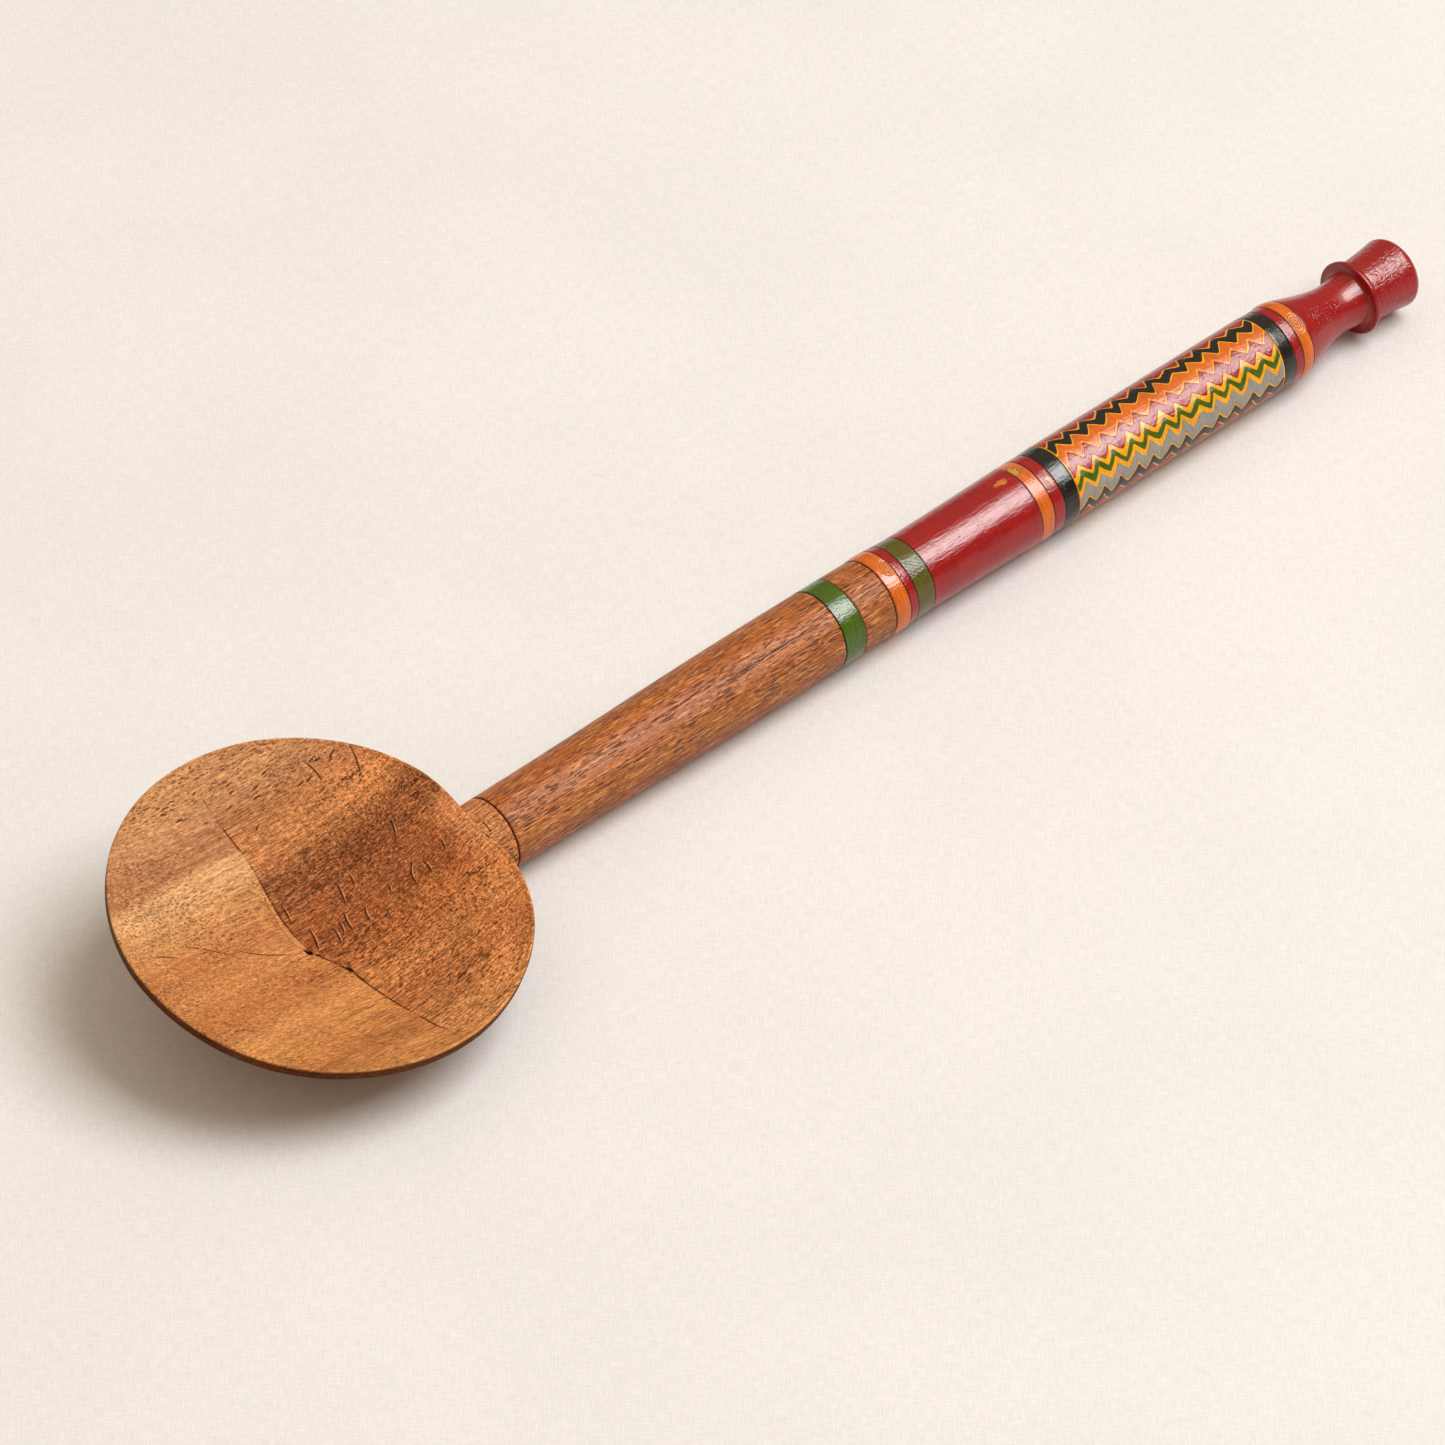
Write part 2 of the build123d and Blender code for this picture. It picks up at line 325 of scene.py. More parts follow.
class Tree:
    """Short calls that build the nodes of a new material, or of a world."""

    def __init__(self, owner):
        self.owner = bpy.data.materials.new(owner) if isinstance(owner, str) else owner
        self.owner.use_nodes = True
        self.nodes = self.owner.node_tree.nodes
        self.links = self.owner.node_tree.links
        self.nodes.clear()

    def new(self, kind, inputs=(), **settings):
        """Add a node with its settings, and fill its inputs, in order or by key."""
        node = self.nodes.new("ShaderNode" + kind)
        for key, value in settings.items():
            setattr(node, key, value)
        for key, value in inputs.items() if isinstance(inputs, dict) else enumerate(inputs):
            value = value.socket if isinstance(value, Value) else value
            if isinstance(value, bpy.types.NodeSocket):
                self.links.new(value, node.inputs[key])
            else:
                node.inputs[key].default_value = value
        return node

    def math(self, operation, first, second=0.0, clamp=False):
        node = self.new("Math", (first, second), operation=operation, use_clamp=clamp)
        return Value(self, node.outputs[0])

    def vector(self, operation, first, second):
        return self.new("VectorMath", (first, second), operation=operation).outputs["Vector"]

    def dot(self, first, second):
        node = self.new("VectorMath", (first, second), operation="DOT_PRODUCT")
        return Value(self, node.outputs["Value"])

    def split(self, vector):
        return [Value(self, output) for output in self.new("SeparateXYZ", (vector,)).outputs]

    def attribute(self, name):
        return Value(self, self.new("Attribute", attribute_name=name).outputs["Fac"])

    def finer(self, place, fineness):
        """A place scaled by one number, or by one for each axis."""
        each = fineness if isinstance(fineness, tuple) else (fineness,) * 3
        return self.vector("MULTIPLY", place, each)

    def object_place(self):
        """The place on the object in mm, in the CAD frame."""
        return self.finer(self.new("TexCoord").outputs["Object"], 1 / MM)

    def noise(self, place, fineness, detail=2.0, roughness=0.5):
        """Soft noise from 0 to 1, with about this many lumps per mm."""
        vector = self.finer(place, fineness)
        inputs = {"Vector": vector, "Scale": 1.0, "Detail": detail, "Roughness": roughness}
        return Value(self, self.new("TexNoise", inputs).outputs[0])

    def cells(self, place, fineness):
        """The distance to the nearest of many scattered points."""
        inputs = {"Vector": self.finer(place, fineness), "Scale": 1.0}
        return Value(self, self.new("TexVoronoi", inputs).outputs["Distance"])

    def stripes(self, value, stops):
        """Colours along a value, from stops of place, red, green and blue."""
        node = self.new("ValToRGB", (value,))
        elements = node.color_ramp.elements
        while len(elements) < len(stops):
            elements.new(0.5)
        for element, (place, *colour) in zip(elements, stops):
            element.position = place
            element.color = rgb(*colour)
        return node.outputs[0]

    def mix(self, factor, first, second, blend="MIX"):
        inputs = {0: factor, 6: first, 7: second}
        return self.new("Mix", inputs, data_type="RGBA", blend_type=blend).outputs[2]

    def shade(self, colour, factor):
        """Multiply a colour by one number."""
        node = self.new("VectorMath", {0: colour, "Scale": factor}, operation="SCALE")
        return node.outputs["Vector"]

    def finish(self, colour, roughness, height, depth_mm, ior):
        """Close the tree with one principled surface and one bump."""
        bump = self.new("Bump", {"Strength": 1.0, "Distance": depth_mm * MM, "Height": height})
        look = {"Base Color": colour, "Roughness": roughness, "IOR": ior, "Normal": bump.outputs[0]}
        self.new("OutputMaterial", {"Surface": self.new("BsdfPrincipled", look).outputs[0]})
        return self.owner


# ---- wood

PORE_COLOUR = rgb(84, 40, 20)
CRACK_COLOUR = rgb(52, 20, 10)


def pore_mask(tree, grain, length, width, radius, crowding):
    """Dark open pores, long along the grain. They crowd together where the noise is high."""
    local = tree.noise(grain, (0.05, 0.45, 0.45))
    size = local.ease(0.5 - crowding, 0.5 + crowding, radius * 0.55, radius * 1.25)
    return tree.cells(grain, (1 / length, 1 / width, 1 / width)).ease(size * 0.45, size, 1, 0)


def pores_of(tree, grain, large, small, shift, share):
    """Large pores, with small ones, elsewhere and fainter, between them."""
    small_mask = pore_mask(tree, tree.vector("ADD", grain, shift), *small)
    return pore_mask(tree, grain, *large).at_least(small_mask * share)


def wood_layers(tree, grain, tilt, stops, reach, warp, stripe=0.17):
    """Broad colour stripes: layers across the grain, tilted, and bent by slow noise."""
    slow = tree.noise(grain, (0.012, 0.06, 0.06))
    quick = tree.noise(grain, (0.02, 0.45, 0.45), 3, 0.6)
    bent = (slow - 0.5) * warp + tree.dot(grain, tilt)
    layer = (quick - 0.5) * (warp * 0.35) + bent
    colour = tree.stripes(layer.line(-reach, reach), stops)
    across = tree.new("CombineXYZ", {1: bent * 0.75}).outputs[0]
    thin = tree.noise(across, 1.0, 2, 0.6)
    return tree.shade(colour, thin.line(0.3, 0.7, 0.99 - stripe, 0.99 + stripe))


def fine_grain(tree, grain, colour, strength, length, speck=1.0):
    """Fibre streaks along the grain and a close speckle, both in the colour's depth."""
    fibre = tree.noise(grain, (0.2 / length, 2.1, 2.1), 4, 0.72)
    speckle = tree.noise(grain, (1.5 / length, 3.3, 3.3), 3, 0.75)
    both = ((fibre - 0.5) + (speckle - 0.5) * speck) * strength
    colour = tree.shade(colour, (both + 1).at_least(0.2))
    return tree.mix(both.ease(0.08, 0.75, 0, 0.34), colour, rgb(238, 190, 142)), fibre, speckle


BOWL_TILT = (0.0, 1.0, 0.49)
BOWL_REACH = 50.0
BOWL_STOPS = [
    (0.10, 193, 128, 75), (0.174, 187, 124, 73), (0.231, 175, 110, 63), (0.294, 191, 127, 73),
    (0.361, 195, 131, 78), (0.433, 175, 108, 61), (0.511, 191, 127, 75), (0.593, 177, 112, 66),
    (0.65, 191, 130, 80), (0.70, 196, 139, 88), (0.75, 212, 158, 109), (0.785, 208, 153, 104),
    (0.808, 173, 116, 77), (0.86, 171, 115, 77), (0.90, 189, 133, 92), (0.97, 196, 139, 92),
]
# The handle side's cut runs nearly along the layers, so its stripes follow y alone.
HANDLE_SIDE_TILT = (0.0, 1.0, 0.0)
HANDLE_SIDE_STOPS = [
    (0.10, 214, 143, 85), (0.18, 190, 121, 71), (0.26, 181, 109, 63), (0.34, 194, 123, 71),
    (0.42, 181, 107, 59), (0.50, 153, 84, 44), (0.58, 163, 92, 49), (0.62, 141, 81, 44),
    (0.67, 149, 88, 49), (0.74, 204, 131, 78), (0.82, 183, 115, 68), (0.90, 210, 145, 100),
]

# Tool cuts in the bowl: x, y, direction in degrees, length, width and bend, in mm.
CUTS = [
    (2.6, 1.6, 72, 6.2, 0.6, 0.3), (7.0, -0.8, 74, 4.6, 0.5, 0.3), (8.9, 0.2, 70, 3.4, 0.4, 0.3),
    (10.6, 0.6, 76, 5.2, 0.55, -0.3), (13.8, 6.6, 72, 5.4, 0.45, 0.2), (17.4, 7.6, 74, 3.2, 0.4, 0.2),
    (14.8, -0.6, 70, 4.8, 0.5, -0.4), (18.0, -3.6, 30, 2.2, 0.4, 0.3), (22.2, 0.8, 66, 3.0, 0.36, 0.3),
    (27.6, 0.4, 62, 5.8, 0.55, -0.7), (30.6, 10.6, 70, 5.0, 0.36, 0.3), (31.0, -1.0, 80, 3.8, 0.4, 0.2),
    (36.0, 0.6, 76, 3.0, 0.34, 0.3), (12.6, -3.8, 12, 2.4, 0.4, 0.2), (5.2, -4.8, 160, 3.0, 0.4, 0.2),
    (1.6, 10.0, 78, 5.0, 0.36, 0.2), (24.6, 31.0, 100, 6.0, 0.34, 0.5), (33.0, 27.0, 76, 8.0, 0.3, 0.6),
    (43.6, -4.6, 84, 2.4, 0.4, 0.1),
]
# Each cut pushed up a pale lip beside it.
LIPS = [(x + 0.42, y, turn, length * 0.9, width * 0.8, bend) for x, y, turn, length, width, bend in CUTS]
# Splits in the wood, given in the same way.
SPLITS = [
    (-0.5, -0.2, 118, 2.6, 1.15, 0.2), (0.6, -2.0, 128, 1.7, 0.6, 0.1),
    (3.3, -8.6, 112, 3.6, 0.75, 0.3), (3.5, -12.4, 96, 4.4, 0.32, -0.2),
    (45.9, -2.2, 92, 3.6, 0.3, 0.1), (-22.0, 8.8, 152, 14.0, 0.2, 0.7),
    (-12.0, 4.6, 150, 9.0, 0.24, -0.4), (-7.0, 2.2, 160, 6.0, 0.2, 0.3),
    (-34.0, 9.4, 168, 6.0, 0.3, 0.4),
]
# Patches of torn fibres: x, y and spread in mm, and how many nicks.
TORN = [
    (29.0, 27.0, 7.0, 16), (38.5, 13.0, 3.5, 14), (22.0, -28.0, 6.0, 24),
    (40.0, -9.0, 3.0, 10), (10.0, 38.0, 7.0, 18), (-13.0, 35.0, 7.0, 10),
]


def torn_nicks():
    """Short nicks along the grain, where the blade tore the fibres."""
    draw = np.random.default_rng(77)
    nicks = []
    for x, y, spread, count in TORN:
        for _ in range(count):
            place = (x + spread * draw.normal(), y + 0.7 * spread * draw.normal())
            length, width = draw.uniform(0.8, 2.4), draw.uniform(0.22, 0.4)
            nicks.append((*place, draw.normal(4, 9), length, width, draw.uniform(-0.12, 0.12)))
    return nicks


def line_field(x, y, lines):
    """The signed distance across the nearest line, and that line's half width there.
    Lines are short, slightly bent strokes that taper at both ends."""
    nearest = np.full(x.shape, 9.0)
    half_width = np.full(x.shape, -9.0)
    for place_x, place_y, angle, length, width, bend in lines:
        cosine, sine = cos(radians(angle)), sin(radians(angle))
        along = (x - place_x) * cosine + (y - place_y) * sine
        part = (along / (length / 2)) ** 2
        across = (y - place_y) * cosine - (x - place_x) * sine - bend * part
        half = width / 2 * (1 - part)
        better = np.abs(across) - half < np.abs(nearest) - half_width
        nearest = np.where(better, across, nearest)
        half_width = np.where(better, np.maximum(half, -2.0), half_width)
    return nearest, half_width


def line_mask(tree, name, soft=0.08):
    """The mask of the strokes stored on the mesh by line_field."""
    gap = abs(tree.attribute(name + "_across")) - tree.attribute(name + "_half")
    return gap.ease(-soft, soft * 0.6, 1, 0)


def bowl_wood():
    """The bowl: striped open-pored wood with the carving's creases, cuts and splits."""
    tree = Tree("carved_bowl_wood")
    grain = tree.new("Attribute", attribute_name="grain").outputs["Vector"]
    stored = tree.attribute
    deep_side = stored("handle_side")

    colour = wood_layers(tree, grain, BOWL_TILT, BOWL_STOPS, BOWL_REACH, warp=4.0)
    stripes = wood_layers(tree, grain, HANDLE_SIDE_TILT, HANDLE_SIDE_STOPS, BOWL_REACH, 7.0, stripe=0.27)
    colour = tree.mix(deep_side, colour, stripes)
    colour = tree.mix(stored("neck") * 0.8, colour, rgb(200, 130, 82))
    colour = tree.shade(colour, stored("near_rim").line(0, 1, 1, 1.22))
    strength = deep_side.line(0, 1, 2.4, 3.5)
    colour, fibre, speckle = fine_grain(tree, grain, colour, strength, length=1.6, speck=0.75)
    mottle = tree.noise(grain, (0.06, 0.16, 0.16), 3, 0.55)
    colour = tree.shade(colour, mottle.line(0.3, 0.7, 0.88, 1.1))
    # Painted shade, with the outside's darker stain: the wall below the rim is darkened, most just under the
    # rim.
    colour = tree.mix(stored("outer"), colour, rgb(128, 104, 84), "MULTIPLY")

    rough_cut = tree.noise(grain, (2.2, 0.2, 0.2), 3, 0.6).ease(0.42, 0.6) * deep_side
    colour = tree.shade(colour, rough_cut.line(0, 1, 1.03, 0.84))

    pores = pores_of(tree, grain, (2.6, 0.6, 0.37, 0.2), (1.1, 0.5, 0.35, 0.16), (31.0, 17.0, 5.0), 0.7)
    quiet = tree.noise(grain, (0.02, 0.09, 0.09)).ease(0.38, 0.6, 0.3, 1)
    pores = pores * (quiet * deep_side.line(0, 1, 0.75, 1))
    colour = tree.mix(pores * 0.8, colour, PORE_COLOUR)

    cuts, lips, splits = [line_mask(tree, name) for name in ("cut", "lip", "split")]
    broken = tree.noise(grain, (0.3, 0.16, 0.16)).ease(0.38, 0.52, 0.25, 1)
    crease = abs(stored("crease")).ease(0.06, 0.26, 1, 0) * broken
    crease = crease * stored("crease_strength")
    colour = tree.mix(stored("ledge") * 0.2, colour, rgb(222, 152, 96))
    ledge_line = abs(stored("ledge_edge")).ease(0.05, 0.22, 0.5, 0)
    colour = tree.mix(ledge_line * stored("ledge_on"), colour, PORE_COLOUR)
    colour = tree.mix(lips * 0.6, colour, rgb(230, 162, 110))
    marks = stored("inside") * cuts.at_least(crease)
    colour = tree.mix(marks * 0.85, colour, PORE_COLOUR)
    colour = tree.mix(splits * 0.92, colour, CRACK_COLOUR)

    height = 0.2 * fibre + 0.3 * speckle + 0.2 * rough_cut + 0.5 * lips
    height = height - 0.55 * pores - 0.9 * marks - splits
    return tree.finish(colour, fibre.line(0.3, 0.7, 0.55, 0.7), height, depth_mm=0.36, ior=1.16)


HANDLE_TILT = (0.02, 0.5, 0.86)
HANDLE_REACH = 16.0
HANDLE_STOPS = [
    (0.05, 160, 92, 42), (0.2, 176, 98, 42), (0.35, 150, 80, 34), (0.5, 182, 108, 54),
    (0.62, 158, 82, 34), (0.75, 186, 112, 58), (0.9, 164, 90, 40),
]
# Drying checks in the handle: place along it, angle from the top, length and width in mm.
CHECKS = [
    (131.0, 31.0, 28.0, 0.3), (121.0, 34.0, 9.0, 0.26),
    (160.5, 26.0, 6.0, 0.2), (144.5, 24.0, 5.0, 0.2),
]


def long_check(tree, grain, place, angle, length, width):
    """A split along the grain, at an angle turned from the top towards -Y."""
    cosine, sine = cos(radians(angle)), sin(radians(angle))
    radius = float(turned_radius(place))
    moved = tree.vector("SUBTRACT", grain, (place, -radius * sine, AXIS_Z + radius * cosine))
    along = tree.split(moved)[0] / (length / 2)
    wander = tree.noise(grain, (0.35, 0.02, 0.02)) - 0.5
    across = tree.dot(moved, (0, -cosine, -sine)) + wander * 1.1
    half = tree.math("SUBTRACT", 1.0, along * along, clamp=True) * (width / 2)
    mask = (abs(across) - half).ease(-0.06, 0.05, 1, 0)
    return mask * tree.dot(moved, (0, -sine, cosine)).ease(-4, -2)


def handle_wood():
    """The handle: browner wood, with long dark pores along the grain and one long check."""
    tree = Tree("turned_handle_wood")
    grain = tree.object_place()
    colour = wood_layers(tree, grain, HANDLE_TILT, HANDLE_STOPS, HANDLE_REACH, warp=5.0)
    # Painted shade: the handle's lower flank towards -Y is darkened by up to a quarter.
    colour = tree.shade(colour, tree.split(grain)[1].ease(-9.8, -6, 0.74, 1))
    colour, fibre, speckle = fine_grain(tree, grain, colour, 2.1, length=2.6)
    flecks = tree.noise(grain, (0.2, 1.5, 1.5), 4, 0.65)
    colour = tree.mix(flecks.ease(0.53, 0.66, 0, 0.7), colour, rgb(222, 152, 100))
    pores = pores_of(tree, grain, (5.2, 0.66, 0.38, 0.2), (2.8, 0.48, 0.36, 0.18), (13.0, 7.0, 3.0), 0.8)
    colour = tree.mix(pores * 0.9, colour, PORE_COLOUR)
    checks = reduce(Value.at_least, [long_check(tree, grain, *check) for check in CHECKS])
    colour = tree.mix(checks * 0.9, colour, CRACK_COLOUR)
    gaps = [tree.attribute(name).ease(0.1, 0.35, 0.7, 0) for name in ("from_green", "from_orange")]
    colour = tree.mix(gaps[0].at_least(gaps[1]), colour, rgb(92, 46, 24))
    height = 0.3 * fibre + 0.3 * speckle - 0.6 * pores - checks
    return tree.finish(colour, fibre.line(0.3, 0.7, 0.3, 0.46), height, depth_mm=0.2, ior=1.3)


# ---- lac

LAC_IOR = 1.48
DEGREE_MM = 0.172


class Lac(Tree):
    """A coat's tree, with places along and round the handle."""

    def __init__(self, name):
        super().__init__("burnished_" + name)
        self.place = self.object_place()
        self.x, y, z = self.split(self.place)
        # Degrees round the handle, from the top towards -Y.
        self.angle = self.math("ARCTAN2", y * -1, z - AXIS_Z) * (180 / pi)

    def reach(self, centre, size):
        """How far a point is from the middle of an oval patch on the turned surface; 1 at its edge."""
        along = (self.x - centre[0]) / size[0]
        around = (self.angle - centre[1]) / (size[1] / DEGREE_MM)
        return self.math("SQRT", along * along + around * around)

    def paint(self, mask, colour):
        self.tone = self.mix(mask, self.tone, rgb(*colour))


def lac(name, colour, dark, streak=0.12, rings=0.3, marks=()):
    """Burnished lac: a glossy coat with turning lines, faint streaks, pits and dark edges.
    Marks are small hand faults, each a function below with its own values."""
    coat = Lac(name)
    place = coat.place
    around = coat.noise(place, (3.2, 0.16, 0.16), 4, 0.65)
    patch = coat.noise(place, 0.28, 3, 0.55)
    tone = coat.mix(around.ease(0.5 - streak, 0.5 + streak * 1.6), rgb(*dark), rgb(*colour))
    coat.tone = coat.shade(tone, patch.line(0.3, 0.7, 0.9, 1.08))
    pit_size = coat.noise(place, 0.7).ease(0.46, 0.62, 0, 0.2)
    pit = (coat.cells(place, 0.62) - pit_size).ease(-0.12, 0, 1, 0)
    coat.paint(pit * 0.6, [channel * 0.35 for channel in dark])
    swell = coat.noise(place, 0.22, 3)
    fine = coat.noise(place, 1.5, 4, 0.6)
    drawn = coat.noise(place, (0.32, 1.5, 1.5), 3, 0.6)
    scuff_size = patch.ease(0.42, 0.62, 0.02, 0.16)
    scuff = (coat.cells(place, (0.42, 1.3, 1.3)) - scuff_size).ease(-0.03, 0.03, 1, 0)
    coat.height = 0.22 * rings * around + swell + 0.42 * fine + 1.1 * drawn - 0.8 * scuff - 0.5 * pit
    for mark, *values in marks:
        mark(coat, *values)
    ragged = coat.attribute("edge") - coat.noise(place, (0.5, 1.6, 1.6), 3) * 0.3
    coat.paint(ragged.ease(0, 0.13, 0.8, 0), [channel * 0.42 for channel in dark])
    return coat.finish(coat.tone, fine.line(0.3, 0.7, 0.06, 0.13), coat.height, depth_mm=0.1, ior=LAC_IOR)


def smudge_and_highlight(coat, centre, size, colour, strength=0.85):
    """A thin, ragged dab of another colour. Most are stray lac; the pale one on the crimson is a painted
    highlight.
    """
    ragged = coat.noise(coat.place, 0.75, 4, 0.65)
    reach = coat.reach(centre, size) + (ragged - 0.5) * 3.6
    coat.paint(reach.ease(0.75, 0.95, strength, 0), colour)
    coat.height += reach.ease(0.6, 1, 1, 0) * 0.9


def swirl(coat, centre, size, spacing):
    """Circles left where a fingertip turned in the soft lac, with a painted highlight on their crests."""
    reach = coat.reach(centre, size)
    turns = reach * (TURN * size[0] / spacing) + coat.noise(coat.place, 0.7, 3)
    ridge = coat.math("SINE", turns) * reach.ease(0.85, 1.05, 1, 0)
    # Painted highlight: the rings' crests are lightened towards a pale cream.
    coat.paint(ridge.ease(0.3, 0.9, 0, 0.35), (255, 196, 140))
    coat.height += ridge


def scratches(coat, centre, size, slant, spacing, colour):
    """A few slanting scratches side by side."""
    across = coat.angle * (-DEGREE_MM * slant) + coat.x
    turns = across * (TURN / spacing) + coat.noise(coat.place, 0.5) * 2.4
    line = coat.math("SINE", turns).ease(0.62, 0.9) * coat.reach(centre, size).ease(0.8, 1.1, 1, 0)
    coat.paint(line * 0.75, colour)
    coat.height -= line


def stain(coat, start, end, colour, strength):
    """A wash of another colour round one stretch of the handle."""
    inside = coat.x.ease(start - 0.1, start) * coat.x.ease(end, end + 0.1, 1, 0)
    uneven = coat.noise(coat.place, (0.8, 0.25, 0.25), 3).ease(0.3, 0.7, strength * 0.4, strength)
    coat.paint(inside * uneven, colour)


def bubbles(coat, centre, size):
    """Fine bubbles that boiled up in the thick lac of the taper."""
    crowd = coat.noise(coat.place, 0.5).ease(0.36, 0.52, 0.24, 0.5)
    radius = crowd * coat.reach(centre, size).ease(0.6, 1.2, 1, 0)
    coat.height += (coat.cells(coat.place, 1.2) - radius).ease(-0.3, 0, 1, 0) * 1.05


def orange_peel(coat, start, end, depth):
    """A lumpy skin, where the lac was left thick."""
    where = coat.x.ease(start, start + 2) * coat.x.ease(end - 1, end, depth, 0)
    coat.height += coat.noise(coat.place, 0.95, 3, 0.6) * where


# Centres are a place along the handle in mm and an angle in degrees. Sizes are half widths in mm.
LACS = {
    "lac_crimson": dict(colour=(157, 26, 28), dark=(140, 18, 22), marks=[
        (smudge_and_highlight, (206.6, -3), (2.2, 0.8), (204, 116, 36)),
        # This pale dab across the band's highlight angles is a painted highlight.
        (smudge_and_highlight, (216.6, 29), (0.7, 2.6), (236, 214, 180), 0.4),
        (bubbles, (310, 36), (7.5, 5)),
        (orange_peel, 325, 342, 2.6),
    ]),
    "lac_orange": dict(colour=(214, 110, 31), dark=(198, 90, 21), rings=0.5, marks=[
        (swirl, (167.3, 15), (2.4, 2.5), 0.62),
        (smudge_and_highlight, (210.8, -8), (2.6, 2.2), (120, 62, 22), 0.8),
        (smudge_and_highlight, (210.6, -7), (2.1, 1.6), (190, 150, 32), 0.95),
        (swirl, (299.2, 28), (2, 3.4), 0.6),
    ]),
    "lac_green": dict(colour=(78, 104, 16), dark=(58, 82, 8), streak=0.2, rings=0.6, marks=[
        (stain, 170.8, 176.2, (116, 52, 34), 0.5),
        (scratches, (173.5, 36), (2.7, 2.9), 1.25, 1.3, (34, 40, 14)),
    ]),
    "lac_black": dict(colour=(34, 29, 26), dark=(22, 19, 17), rings=0.6),
    "lac_yellow": dict(colour=(238, 172, 26), dark=(226, 146, 16)),
    "lac_grey": dict(colour=(150, 145, 136), dark=(137, 133, 124)),
}


# ---- handle pieces

COAT = 0.35
PROUD = 0.05
EDGE_ROUND = 0.14
COAT_STEP = 0.45
PANEL_STEP = 0.8
FAR_FROM_EDGE = 9.0


def rounded_top(start, end, step):
    """Stations along a coat's outer face, with both edges eased over."""
    round_off = np.array([(0.0, 1.0), (0.1, 0.55), (0.35, 0.2), (1.0, 0.0)]) * EDGE_ROUND
    middle = even_steps(start + EDGE_ROUND, end - EDGE_ROUND, step)[1:-1]
    places = np.concatenate([start + round_off[:, 0], middle, end - round_off[::-1, 0]])
    drops = np.concatenate([round_off[:, 1], 0 * middle, round_off[::-1, 1]])
    return places, drops


def sleeve(node, name, material, proud, step, edge_from=0.0):
    """One coat of lac as a thin closed sleeve that fills its seat."""
    start, end = span(node)
    places, drops = rounded_top(start, end, step)
    radius = turned_radius(places)
    top = np.stack([places, radius + proud - drops], -1)
    under = np.stack([places, radius - COAT], -1)[::-1]
    stations = np.concatenate([top, under])
    piece = lathe(name, stations, closed_loop=True)
    distance = np.minimum(stations[:, 0] - start, end - stations[:, 0])
    store(piece, "edge", np.repeat(distance, SEGMENTS) + edge_from)
    settle(piece, node, material)


BEAD = 0.25
TENON_RADIUS = 5.0
CORE_HOLE = 0.6


def turned_stations(start, end, step, sunk=0.0):
    return [(x, turned_radius(x) - sunk) for x in even_steps(start, end, step)]


def handle_core_piece(material):
    """The turned stick, with its bare wood, its tenon and the seats of the coats."""
    tenon_start = span("handle_core")[0]
    stations = [(tenon_start, 0.0), (tenon_start, TENON_RADIUS), (JOINT_X - 0.02, TENON_RADIUS)]
    stations += [(JOINT_X, turned_radius(JOINT_X) - 0.25), (JOINT_X + 0.25, turned_radius(JOINT_X))]
    stations += turned_stations(JOINT_X + 0.5, GREEN[0] - BEAD, 0.6)
    stations += turned_stations(*GREEN, 1.5, COAT)
    stations += turned_stations(GREEN[1] + BEAD, BARE_END - BEAD, 0.6)
    stations += turned_stations(BARE_END, END[0], 1.5, COAT)
    stations += [(x, radius - COAT) for x, radius in end_outline(0.5) if x > END[0] + 0.3]
    last_x = stations[-1][0] - COAT
    stations = [(min(x, last_x), max(radius, CORE_HOLE)) for x, radius in stations]
    piece = lathe("handle_core_wood", stations)
    x = np.array([place for place, _ in stations])
    for name, edges in (("from_green", GREEN), ("from_orange", (BARE_END,))):
        gap = np.min([np.abs(x - edge) for edge in edges], axis=0)
        store(piece, name, np.append(np.repeat(gap, SEGMENTS), [FAR_FROM_EDGE] * 2))
    settle(piece, "handle_core", material)


# The end's shape: places from the last band and radii.
TAPER_MIDDLE = (8.0, 7.6)
WAIST = (17.5, 6.3)
FLANGE_START = 22.3
FLANGE_ROOT = 7.05
FLANGE_THICKNESS = 1.5
FLANGE_RADIUS = 9.4
FLANGE_ROUND = 0.42
GROOVE = (24.7, 7.9)
FINIAL_RADIUS = 8.9
FINIAL_EDGE = 2.1


def curve(points, count):
    """A smooth curve through a few points: the polynomial that meets them all."""
    x, y = np.array(points).T
    fitted = np.polynomial.Polynomial.fit(x, y, len(points) - 1)
    places = np.linspace(x[0], x[-1], count)
    return list(zip(places, fitted(places)))


def arc(x, y, radius, start, end, count):
    """Points round part of a circle, with angles in degrees."""
    angles = np.radians(np.linspace(start, end, count))
    return [(x + radius * cos(a), y + radius * sin(a)) for a in angles]


